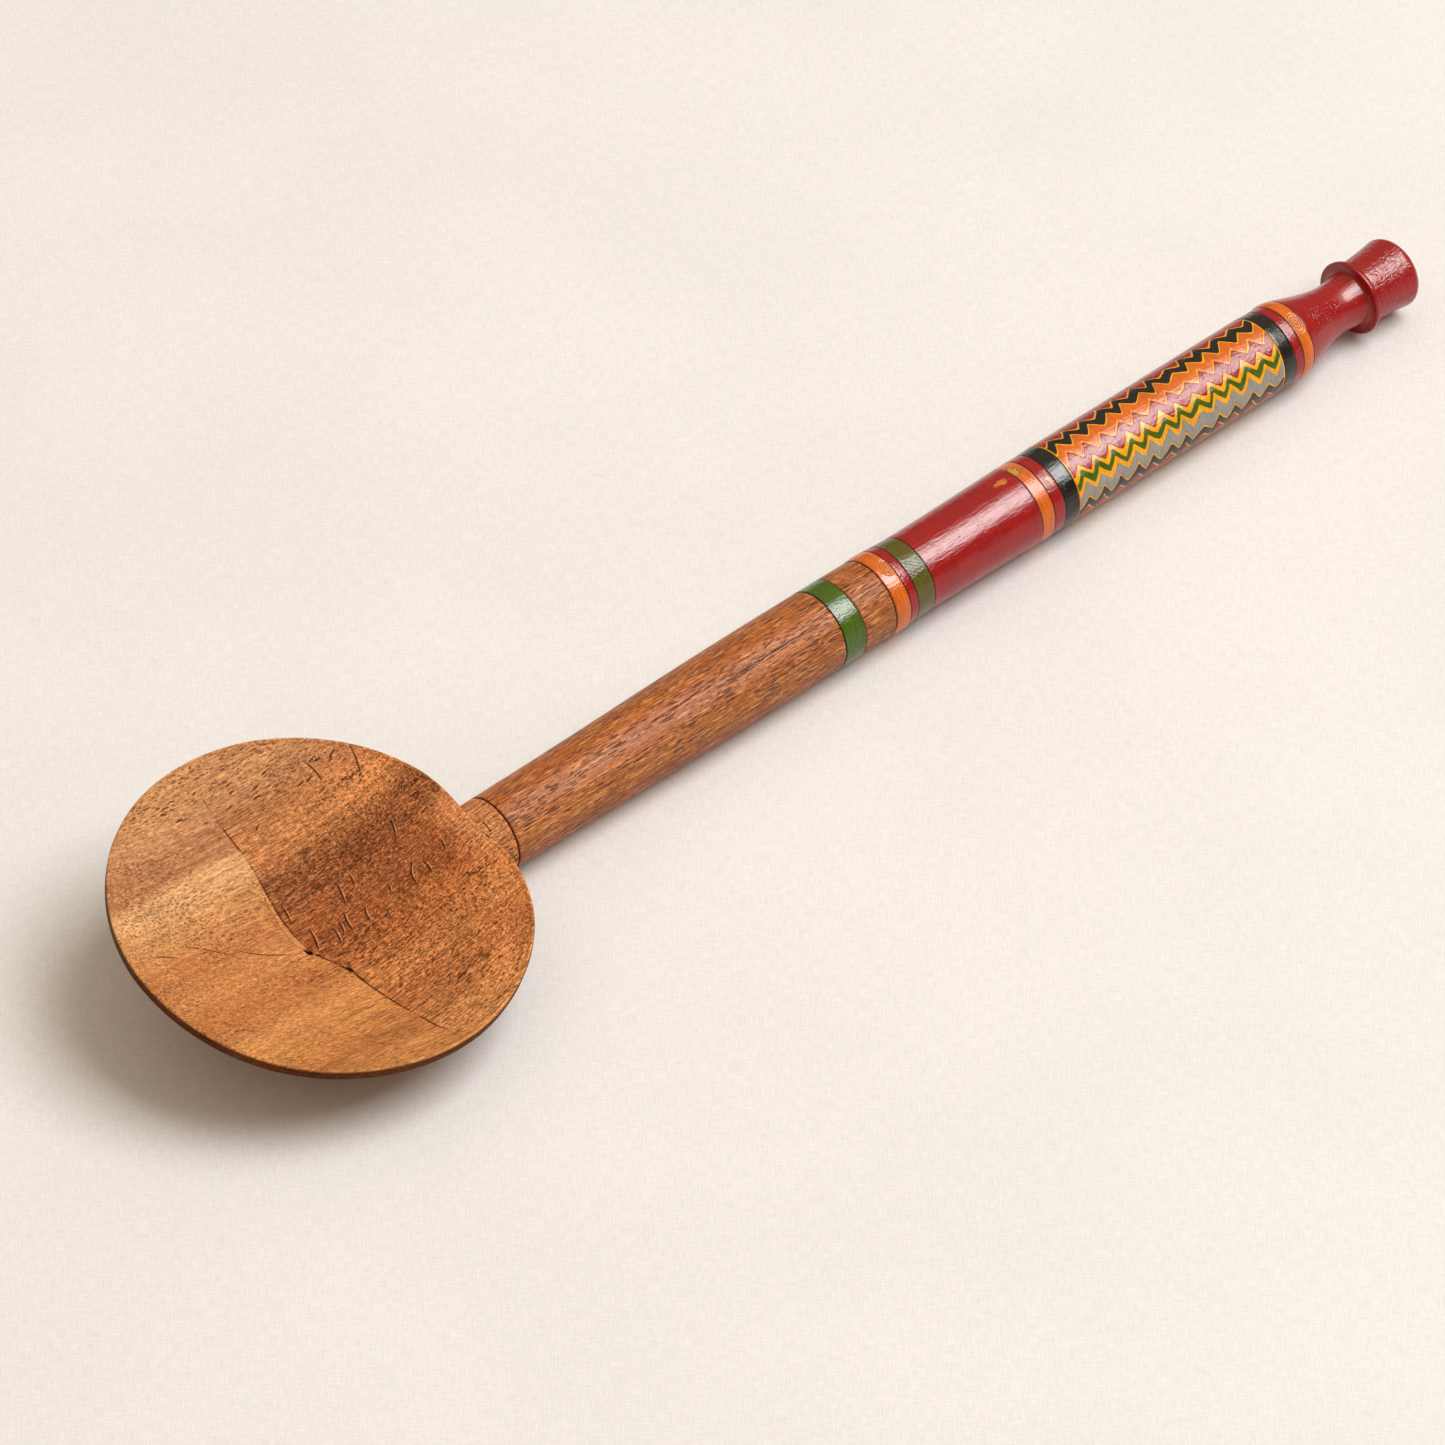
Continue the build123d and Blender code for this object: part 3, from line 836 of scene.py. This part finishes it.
def end_outline(step):
    """The taper, waist, flange and finial, from the last band to the tip."""
    start, end = END
    taper = [(0.0, float(turned_radius(start))), TAPER_MIDDLE, WAIST, (FLANGE_START - 0.35, FLANGE_ROOT)]
    points = [(start + x, radius) for x, radius in curve(taper, int(FLANGE_START / step) + 1)]
    front = start + FLANGE_START
    back = front + FLANGE_THICKNESS
    crest = FLANGE_RADIUS - FLANGE_ROUND
    points += [(front - 0.05, FLANGE_ROOT + 0.35), (front, crest - 0.2)]
    points += arc(front + FLANGE_ROUND, crest, FLANGE_ROUND, 172, 92, 7)
    points += arc(back - FLANGE_ROUND, crest - 0.06, FLANGE_ROUND, 84, 12, 7)
    groove_x, groove_radius = start + GROOVE[0], GROOVE[1]
    points += [(back + 0.05, crest - 0.25), (groove_x - 0.35, groove_radius + 0.1), (groove_x, groove_radius)]
    edge_x, edge_radius = end - FINIAL_EDGE, FINIAL_RADIUS - FINIAL_EDGE
    body = [(groove_x + 0.4, groove_radius + 0.06), (groove_x + 6.0, 8.25), (edge_x, FINIAL_RADIUS)]
    points += curve(body, int(11 / step))
    points += arc(edge_x, edge_radius, FINIAL_EDGE, 84, 6, 12)
    points += [(end, radius) for radius in np.linspace(edge_radius, 0.5, 8)]
    return points


def end_coat(material):
    """The crimson coat over the whole end, down its inner face and back over its outer one."""
    tip = END[1]
    outer = [(min(x, tip), radius + PROUD) for x, radius in end_outline(0.3)]
    start_x, start_radius = outer[0]
    outer[0] = (start_x, start_radius - EDGE_ROUND)
    outer.insert(1, (start_x + EDGE_ROUND * 0.4, start_radius - EDGE_ROUND * 0.25))
    inner = [(min(x, tip - COAT), max(radius - COAT, 0.5)) for x, radius in end_outline(0.6)]
    stations = inner[::-1] + outer
    piece = lathe("crimson_end_lac", stations)
    distance = [max(x - start_x, 0) for x, _ in stations]
    store(piece, "edge", np.append(np.repeat(distance, SEGMENTS), [FAR_FROM_EDGE] * 2))
    settle(piece, "crimson_end_coat", material)


# ---- the combed panel

STRIP_THICKNESS = 0.12
STRIP_PROUD = 0.055
OUTLINE_ANGLE = 1.6
END_OUTLINE = 0.42
TOOTH_PITCH = 5.45
TOOTH_ANGLE = 8.6
# Where each strip starts and ends round the handle, in degrees from the top towards -Y.
STRIPS = {
    "crimson_top": (-52, -20), "black_top": (-20, 0), "orange_front": (0, 20),
    "crimson_front": (20, 42.5), "green_front": (48, 61), "grey_front": (67, 90),
    "black_under": (90, 106), "crimson_under": (106, 136), "green_under": (142, 154),
    "grey_under": (160, 184), "orange_back": (184, 204), "crimson_back": (204, 230),
    "black_back": (230, 250), "green_back": (256, 268), "grey_back": (274, 308),
}


def comb_wave(x):
    """The zigzag that one pass of the comb gave every colour edge, in degrees.
    Its tips on one side are sharp, and its troughs are round."""
    draw = np.random.default_rng(41)
    count = int((PANEL[1] - PANEL[0]) / TOOTH_PITCH) + 4
    places, turns = [], []
    for index in range(count):
        tip = PANEL[0] + (index - 0.5) * TOOTH_PITCH + draw.uniform(-0.5, 0.5)
        places += [tip, tip + TOOTH_PITCH * draw.uniform(0.46, 0.56)]
        turns += [-draw.uniform(0.7, 1.3), draw.uniform(0.7, 1.05)]
    wave = np.interp(x, places, turns)
    return TOOTH_ANGLE * (wave + 0.13 * (1 - np.minimum(wave * wave, 1)))


def strip_edge(x, angle):
    """One colour edge: the comb's wave, with this edge's own small unevenness."""
    seed = int(angle * 7) % 997
    fine = even_steps(PANEL[0] - 2, PANEL[1] + 2, 0.06)
    wave = comb_wave(fine) * (1 + 0.16 * smooth_noise(fine, seed, 7.0))
    wave += 1.3 * smooth_noise(fine, seed + 1, 2.6) + 0.6 * smooth_noise(fine, seed + 2, 0.8)
    kernel = np.hanning(17)
    wave = np.convolve(wave, kernel / kernel.sum(), mode="same")
    return angle + np.interp(x, fine, wave)


def strip_inset(x, angle):
    """Half the width of the outline along one colour edge, as the comb's pressure varied."""
    return OUTLINE_ANGLE * (1 + 0.45 * smooth_noise(x, int(angle) % 89 + 300, 1.7))


def strip_piece(node, low, high, material):
    """One combed strip: a thin curved shell with zigzag sides and eased edges."""
    start, end = PANEL[0] + END_OUTLINE, PANEL[1] - END_OUTLINE
    x = even_steps(start, end, 0.16)
    first = strip_edge(x, low) + strip_inset(x, low)
    last = strip_edge(x, high) - strip_inset(x, high + 45)
    last = np.maximum(last, first + 1.0)
    radius = turned_radius(x) + lathe_wobble(x, np.zeros(1))[:, 0]
    across = [0.0, 0.025, 0.09, *np.linspace(0.18, 0.82, 6), 0.91, 0.975, 1.0]
    lift = [0.35, 0.75] + [1.0] * 8 + [0.75, 0.35]
    rows = [(part, radius + STRIP_PROUD * height) for part, height in zip(across, lift)]
    rows += [(part, radius - STRIP_THICKNESS) for part in reversed(across)]
    points, edges = [], []
    for part, surface in rows:
        turned = np.radians(first + (last - first) * part)
        surface = surface + oval(turned)
        points.append(np.stack([x, -surface * np.sin(turned), surface * np.cos(turned) + AXIS_Z], -1))
        side = min(part, 1 - part) * np.radians(last - first) * radius
        edges.append(np.minimum(side, np.minimum(x - start, end - x) + 0.05))
    count, columns = len(rows), len(x)
    quads = grid_quads(count, columns, close_rows=True, close_columns=False)[:, ::-1]
    top = np.arange(count // 2 - 1)
    cap = np.stack([top, top + 1, count - 2 - top, count - 1 - top], -1) * columns
    faces = np.concatenate([quads, cap[:, ::-1], cap + columns - 1])
    piece = make_piece(node + "_lac", np.concatenate(points), faces)
    store(piece, "edge", np.concatenate(edges) + 0.2)
    settle(piece, node, material)


# ---- bowl

BOWL_RADIUS = 45.7
BOWL_DEPTH = 17.0
RIM_ABOVE_AXIS = 16.0
RIM_EDGE = 3.0
RIM_ROUND = 0.9
BOTTOM_BELOW_AXIS = 10.5
BOWL_PITCH = radians(4.8)
BOWL_ROLL = radians(11.2)
BOWL_TURN = np.array(Matrix.Rotation(BOWL_ROLL, 3, "X") @ Matrix.Rotation(BOWL_PITCH, 3, "Y"))
NECK_DIP = 3.3
NECK_DIP_ANGLE = radians(13.0)
NECK_FLAT = 1.5
NECK_FLAT_ANGLE = radians(24)
NECK_ROLL = 0.5
NECK_ROLL_ANGLE = radians(16)
NECK_RADIUS = 8.95
NECK_SEGMENTS = 128
KEEL_RADIUS = 9.2
SIDE_CREASE = radians(157)
BOWL_SEGMENTS = 480


def bowl_to_row(points):
    """From the bowl's own upright frame to the CAD frame."""
    return points @ BOWL_TURN.T + (0, 0, AXIS_Z)


def row_to_bowl(points):
    return (points - (0, 0, AXIS_Z)) @ BOWL_TURN


def bell(x, middle, width):
    return np.exp(-(((x - middle) / width) ** 2))


def crease_x(y):
    """Where the crease between the handle side and the tip side runs, for each y."""
    swing = 1.35 - 1.95 * np.tanh((y + 4.0) / 4.5)
    return swing + 2.1 * bell(y, 23, 11) - 0.7 * bell(y, -38, 5)


def rim_radius(angle):
    return BOWL_RADIUS - NECK_FLAT * bell(angle, 0, NECK_FLAT_ANGLE) + 0.28 * wave_sum(angle, 12, 9)


def rim_height(angle):
    return RIM_ABOVE_AXIS - NECK_DIP * bell(angle, 0, NECK_DIP_ANGLE) + 0.14 * wave_sum(angle, 13, 10)


def dish_height(x, y, angle):
    """The carved hollow: a shallow dish cut in three facets that meet in valleys."""
    radius, rim = rim_radius(angle), rim_height(angle)
    across = np.hypot(x, y)
    inward = radius - across
    bowed = 1 - np.clip(across / radius, 0, 1) ** 2
    fade = bowed * ease(inward, 0, 9)
    height = rim - (BOWL_DEPTH - RIM_ABOVE_AXIS + rim) * bowed
    height += NECK_ROLL * inward * bell(inward, 0, 7) * bell(angle, 0, NECK_ROLL_ANGLE)
    height += 0.1 * np.abs(x - crease_x(y)) * fade
    left = ease(crease_x(y) - x, 0.0, 4.0) * ease(across, 0, 6)
    off_line = x * sin(SIDE_CREASE) - y * cos(SIDE_CREASE)
    return height + 0.055 * np.abs(off_line) * fade * left


def ledge_width(y):
    """The sliver beside the crease that the last stop cuts left."""
    return 1.5 * ease(-y, -28, -6) * ease(y, -1.0, 3.0)


def gouge_ripple(x, y):
    """Shallow flutes left by the gouge on each side of the crease."""
    handle_side = 0.05 * smooth_noise(y + 0.08 * x, 21, 3.4) + 0.05 * smooth_noise(x - 0.1 * y, 22, 5.0)
    tip_side = 0.05 * smooth_noise(y - 0.35 * x, 23, 4.2) + 0.04 * smooth_noise(x + 0.3 * y, 24, 6.0)
    return np.where(x > crease_x(y), handle_side, tip_side)


def bowl_top(angle):
    """Rings of points over the hollow, bent so that one grid line is the crease."""
    outermost = BOWL_RADIUS - RIM_ROUND
    rings = np.concatenate([np.arange(0.25, 4.0, 0.25), np.linspace(4.0, outermost, 122)])
    rings = rings[:, None] / outermost
    x = rings * (rim_radius(angle) - RIM_ROUND) * np.cos(angle)
    y = rings * (rim_radius(angle) - RIM_ROUND) * np.sin(angle)
    x = x + crease_x(y) * (1 - rings ** 4) * ease(np.abs(np.sin(angle)), 0.0, 0.9)
    height = dish_height(x, y, angle)
    off, width = x - crease_x(y), ledge_width(y)
    on_ledge = ease(off, -width - 0.35, -width) * (1 - ease(off, -0.4, 0.05))
    on_ledge *= ease(width, 0.4, 1.0)
    height -= on_ledge * (0.05 * off + 0.08)
    height += gouge_ripple(x, y) * ease(rim_radius(angle) - np.hypot(x, y), 0, 6)
    hole = np.hypot((x + 0.5) / 0.75, (y + 0.2) / 0.95)
    height -= 1.1 * (1 - ease(hole, 0.35, 1.05))
    split = np.hypot((x - 3.3) / 0.5, (y + 8.8) / 1.8)
    height -= 0.5 * (1 - ease(split, 0.3, 1.1))
    return np.stack([x, y, height], -1)


def keel_height(x, y, base, softness=2.2):
    """The underside with the neck's keel running in under the bowl."""
    along = cos(BOWL_PITCH) * x + sin(BOWL_PITCH) * base
    shrink = 3.5 * (1 - ease(along, 12, 40))
    keel = x * tan(BOWL_PITCH) - (KEEL_RADIUS - shrink) + y * y / (2 * KEEL_RADIUS)
    keel = np.where(x > 0, keel, 60.0)
    blend = np.clip(0.5 + 0.5 * (base - keel) / softness, 0, 1)
    joined = base * (1 - blend) + keel * blend - softness * blend * (1 - blend)
    present = 1 - ease(np.hypot(x, y), 34, 44)
    return base * (1 - present) + joined * present


# The rim's section from the hollow over to the side wall: distance outwards and height.
RIM_SECTION = [(-0.62, 0.02), (-0.36, -0.02), (-0.14, -0.12), (-0.03, -0.32), (0.0, -0.6)]
WALL_SECTION = [(0.02, -1.2), (0.0, -2.0), (-0.12, -2.6), (-0.45, -3.05), (-0.95, -3.5)]


def bowl_body():
    """The bowl's closed mesh, in its own frame: hollow, rim, side wall and underside."""
    angle = np.arange(BOWL_SEGMENTS) * TURN / BOWL_SEGMENTS
    angle = np.where(angle > pi, angle - TURN, angle)
    radius, rim = rim_radius(angle), rim_height(angle)
    away = 1 - bell(angle, 0, NECK_DIP_ANGLE)
    rows = [*bowl_top(angle)]

    def add_ring(ring, height):
        rows.append(np.stack([ring * np.cos(angle), ring * np.sin(angle), height], -1))

    for out, drop in RIM_SECTION + WALL_SECTION:
        ring = radius + out + 0.06 * wave_sum(angle, int(40 - drop * 10), 30, 0.3)
        level = drop * away if (out, drop) in RIM_SECTION else drop
        add_ring(ring, rim + level + 0.16 * ease(-drop, 1, 3) * wave_sum(angle, 61, 26, 0.2))
    for part in np.linspace(1.0, 0.02, 34):
        ring = (radius - 1.4) * part
        base = -BOTTOM_BELOW_AXIS + (rim - RIM_EDGE - 0.9 + BOTTOM_BELOW_AXIS) * part ** 1.8
        base = base + 0.12 * smooth_noise(angle * 14 + part * 9, 31, 2.0) * part
        add_ring(ring, keel_height(ring * np.cos(angle), ring * np.sin(angle), base))
    return capped(np.array(rows), [rows[0].mean(0), rows[-1].mean(0)], flip=True)


def neck_tube():
    """The neck's round stub, in the CAD frame, from inside the bowl to the joint."""
    joint = JOINT_X - 0.3
    angle = np.arange(NECK_SEGMENTS) * TURN / NECK_SEGMENTS
    places = np.concatenate([even_steps(26.0, joint - 0.3, 0.8), [joint - 0.12, joint]])
    radii = np.full(len(places), NECK_RADIUS)
    radii[-2:] -= (0.05, 0.22)
    radii += 0.05 * smooth_noise(places, 51, 2.0) - 1.6 * (1 - ease(places, 26, 38))
    x, across = np.broadcast_arrays(places[:, None], radii[:, None] + 0 * angle)
    ceiling = np.interp(places, [26, 34, 40, 43.5, 44.5], [-1.0, 2.5, 5.3, 8.4, 9.5])[:, None]
    height = np.minimum(across * np.cos(angle), ceiling) + AXIS_Z
    rings = np.stack([x, -across * np.sin(angle), height], -1)
    return capped(rings, [[places[0], 0, AXIS_Z], [joint, 0, AXIS_Z]])


def joined_bowl():
    """The bowl and its neck as one mesh."""
    points, *faces = bowl_body()
    placed = bowl_to_row(points)
    placed[:, 2] = np.maximum(placed[:, 2], 0.0)
    piece = make_piece("bowl_carved", placed, *faces)
    neck = make_piece("neck_stub", *neck_tube())
    joiner = piece.modifiers.new("join", "BOOLEAN")
    joiner.operation = "UNION"
    joiner.solver = "EXACT"
    joiner.object = neck
    bpy.context.view_layer.objects.active = piece
    piece.select_set(True)
    bpy.ops.object.modifier_apply(modifier="join")
    bpy.data.objects.remove(neck)
    piece.data.shade_smooth()
    return piece


def bowl_piece(material):
    """The carved bowl, with the masks that its material reads."""
    piece = joined_bowl()
    local = row_to_bowl(read_field(piece.data.vertices, "co", 3) / MM)
    x, y, z = local.T
    across, angle = np.hypot(x, y), np.arctan2(y, x)
    inside = (across < rim_radius(angle) - 0.2) & (z > dish_height(x, y, angle) - 1.6)
    off, width = x - crease_x(y), ledge_width(y)
    on_ledge = ease(off, -width - 0.3, -width + 0.1) * (1 - ease(off, -0.15, 0.0))
    on_ledge *= ease(width, 0.4, 1.2)
    neck_width = np.where(inside, 13.0, 10.2)
    neck_top = ease(x, 35.0, 44.5) * (1 - ease(np.abs(y), neck_width - 6, neck_width))
    neck = np.where(inside, neck_top, ease(x, 43.0, 44.5) * (np.abs(y) < neck_width))
    drop = rim_height(angle) - z
    # The side wall's darkening mask: partly the outside's darker stain, partly painted shade. It is strongest
    # just below the rim and fades on the underside.
    outer = ~inside * ease(drop, 0.1, 0.5) * (1 - 0.5 * ease(drop, 4, 11)) * (1 - neck)
    handle_side = ease(off, -0.12, 0.12) * inside * (1 - 0.7 * ease(y, 22, 36))
    fields = {
        "grain": local,
        "crease": off,
        "inside": inside,
        "neck": neck,
        "outer": outer,
        "ledge": on_ledge * inside,
        "crease_strength": ease(across, 1.0, 4.0) * (1 - ease(across, 36, 41)),
        "ledge_edge": off + width,
        "ledge_on": ease(width, 0.5, 1.1) * inside,
        "handle_side": np.maximum(handle_side, neck),
        "near_rim": handle_side * ease(across, 27, 40) * ease(x, 12, 26),
    }
    for name, lines in (("cut", CUTS + torn_nicks()), ("lip", LIPS), ("split", SPLITS)):
        fields[name + "_across"], fields[name + "_half"] = line_field(x, y, lines)
    for name, values in fields.items():
        store(piece, name, values)
    settle(piece, "bowl", material)


# ---- glue line

def glue_material():
    """The dark red film at the neck joint."""
    tree = Tree("dark_glue")
    spots = tree.noise(tree.object_place(), 1.5, 3)
    tone = tree.mix(spots.ease(0.35, 0.65), rgb(62, 20, 13), rgb(96, 34, 20))
    return tree.finish(tone, 0.85, spots, depth_mm=0.05, ior=1.15)


# ---- stage, light and camera

FLOOR_HALF_SIDE = 3.0
FLOOR_STEPS = 60
FLOOR_DROP = 0.00002


def cloth_floor():
    """A wide pale cloth with a fine plain weave."""
    line = np.linspace(-FLOOR_HALF_SIDE, FLOOR_HALF_SIDE, FLOOR_STEPS)
    x, y = np.meshgrid(line, line, indexing="ij")
    points = np.stack([x, y, 0 * x - FLOOR_DROP], -1).reshape(-1, 3) / MM
    quads = grid_quads(FLOOR_STEPS, FLOOR_STEPS, close_columns=False)[:, ::-1]
    floor = make_piece("cloth_floor", points, quads)
    tree = Tree("cloth")
    place = tree.object_place()
    diagonal = {"Vector": place, "Angle": radians(45)}
    thread = tree.new("VectorRotate", diagonal, rotation_type="Z_AXIS").outputs[0]
    weave = tree.noise(thread, (2.6, 0.3, 1)) + tree.noise(thread, (0.3, 2.6, 1))
    cloud = tree.noise(place, (0.012, 0.012, 1), 3)
    tone = tree.mix(cloud.ease(0.35, 0.65), rgb(222, 219, 219), rgb(225, 222, 222))
    tone = tree.shade(tone, weave.line(0.7, 1.3, 0.93, 1.06))
    floor.data.materials.append(tree.finish(tone, 0.9, weave, depth_mm=0.06, ior=1.5))
    floor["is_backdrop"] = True


VIEW_AZIMUTH = radians(-42.59)
VIEW_ELEVATION = radians(43.19)
VIEW_AIM = Vector((0.1197, 0.0004, -0.0003))
VIEW_DISTANCE = 1.3465
LENS = 149.5
SENSOR = 36.0


def camera():
    """A long lens on the bowl's side, looking down as at a table."""
    data = bpy.data.cameras.new("camera")
    data.lens = LENS
    data.sensor_width = SENSOR
    eye = bpy.data.objects.new("camera", data)
    level = cos(VIEW_ELEVATION)
    back = (sin(VIEW_AZIMUTH) * level, -cos(VIEW_AZIMUTH) * level, sin(VIEW_ELEVATION))
    eye.location = VIEW_AIM + Vector(back) * VIEW_DISTANCE
    eye.rotation_euler = Vector(back).to_track_quat("Z", "Y").to_euler()
    bpy.context.collection.objects.link(eye)
    bpy.context.scene.camera = eye


LIGHT_TARGET = Vector((0.2, 0.0, 0.01))
LIGHT_DISTANCE = 3.0
LIGHT_TOWARDS = Vector((0.493, -0.312, 0.812)).normalized()
LIGHT_UP = Vector((0.0, 0.94, 0.34))
LIGHT_SIDE_SHIFT = -0.48
# Each soft box: watts, width and height, colour, how far back and how far down it is moved, and
# whether it adds only to the shine.
SOFT_BOXES = {
    "soft_box": (85.5, (1.8, 2.2), (0.97, 1.0, 1.01), 0.0, 0.0, False),
    "soft_box_shine": (94.0, (2.2, 1.7), (0.95, 0.97, 0.93), 0.06, 0.2, True),
}


def soft_box(name, power, size, colour, setback, drop, shine_only):
    """One large soft box, up and to the right of the handle."""
    data = bpy.data.lights.new(name, "AREA")
    data.shape = "RECTANGLE"
    data.size, data.size_y = size
    data.energy = power
    data.color = colour
    side = LIGHT_UP.cross(LIGHT_TOWARDS).normalized()
    up = LIGHT_TOWARDS.cross(side)
    place = LIGHT_TARGET + LIGHT_TOWARDS * (LIGHT_DISTANCE + setback) + side * LIGHT_SIDE_SHIFT - up * drop
    lamp = bpy.data.objects.new(name, data)
    lamp.matrix_world = Matrix.Translation(place) @ Matrix((side, up, LIGHT_TOWARDS)).transposed().to_4x4()
    lamp.visible_diffuse = not shine_only
    bpy.context.collection.objects.link(lamp)


SKY_COLOUR = (1.0, 0.83, 0.62, 1.0)


def surroundings():
    """Pale studio surroundings: bright overhead, dim low down."""
    world = bpy.data.worlds.new("studio")
    bpy.context.scene.world = world
    tree = Tree(world)
    height = tree.split(tree.new("TexCoord").outputs["Generated"])[2]
    sky = tree.new("Background", {"Color": SKY_COLOUR, "Strength": height.ease(0.05, 0.95, 0.25, 0.7)})
    tree.new("OutputWorld", {"Surface": sky.outputs[0]})


def build():
    """Every piece, each in the place of its CAD node."""
    lacs = {name: lac(name, **values) for name, values in LACS.items()}
    bowl_piece(bowl_wood())
    handle_core_piece(handle_wood())
    for node in BANDS:
        sleeve(node, node + "_coat", lacs[SLOTS[node]], PROUD, COAT_STEP)
    sleeve("panel_yellow_ground", "panel_yellow_lac", lacs["lac_yellow"], 0.0, PANEL_STEP, edge_from=0.1)
    for name, sides in STRIPS.items():
        node = "zigzag_" + name
        strip_piece(node, *sides, lacs[SLOTS[node]])
    end_coat(lacs["lac_crimson"])
    frame["nodes"]["neck_glue"].material_slots[0].material = glue_material()


build()
cloth_floor()
for name, values in SOFT_BOXES.items():
    soft_box(name, *values)
surroundings()
camera()
bpy.context.scene.view_settings.view_transform = "Standard"

sizes = {"cad": cad_box, "visual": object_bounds()}
sizes = {key: [[float(value) for value in corner] for corner in box] for key, box in sizes.items()}
